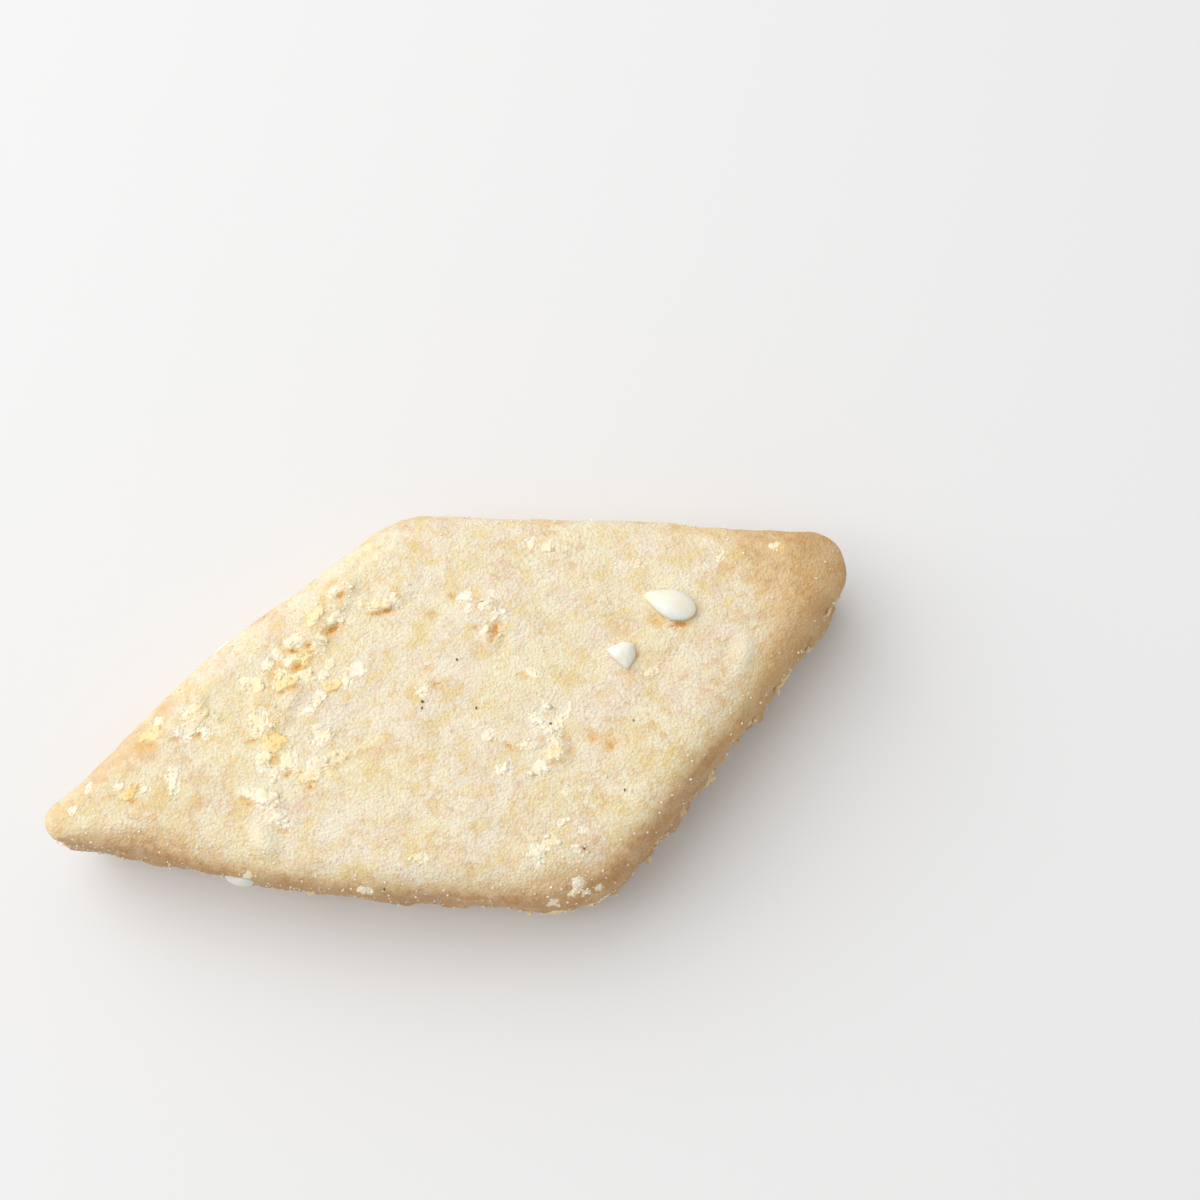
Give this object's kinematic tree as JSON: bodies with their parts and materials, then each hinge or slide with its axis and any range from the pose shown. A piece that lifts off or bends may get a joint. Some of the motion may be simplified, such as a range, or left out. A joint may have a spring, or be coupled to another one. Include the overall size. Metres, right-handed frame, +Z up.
{
  "type": "butter cookie",
  "caption": "Thick diamond-shaped butter cookie with rounded shoulders, crumbly sides, a ridge of baked-on crumbs and sesame seeds.",
  "frame": {"origin": "centre of the base's bounding box, on the surface that the cookie lies on", "axes": "+X along the long diagonal to the blunter tip, +Y to the back corner, +Z up out of the face"},
  "size_m": [0.0522, 0.0269, 0.0095],
  "materials": {
    "crust": "matt baked crumb, pale gold, darker towards the edge"
  },
  "bodies": {
    "root": {"cookie": "crust"}
  },
  "joints": []
}
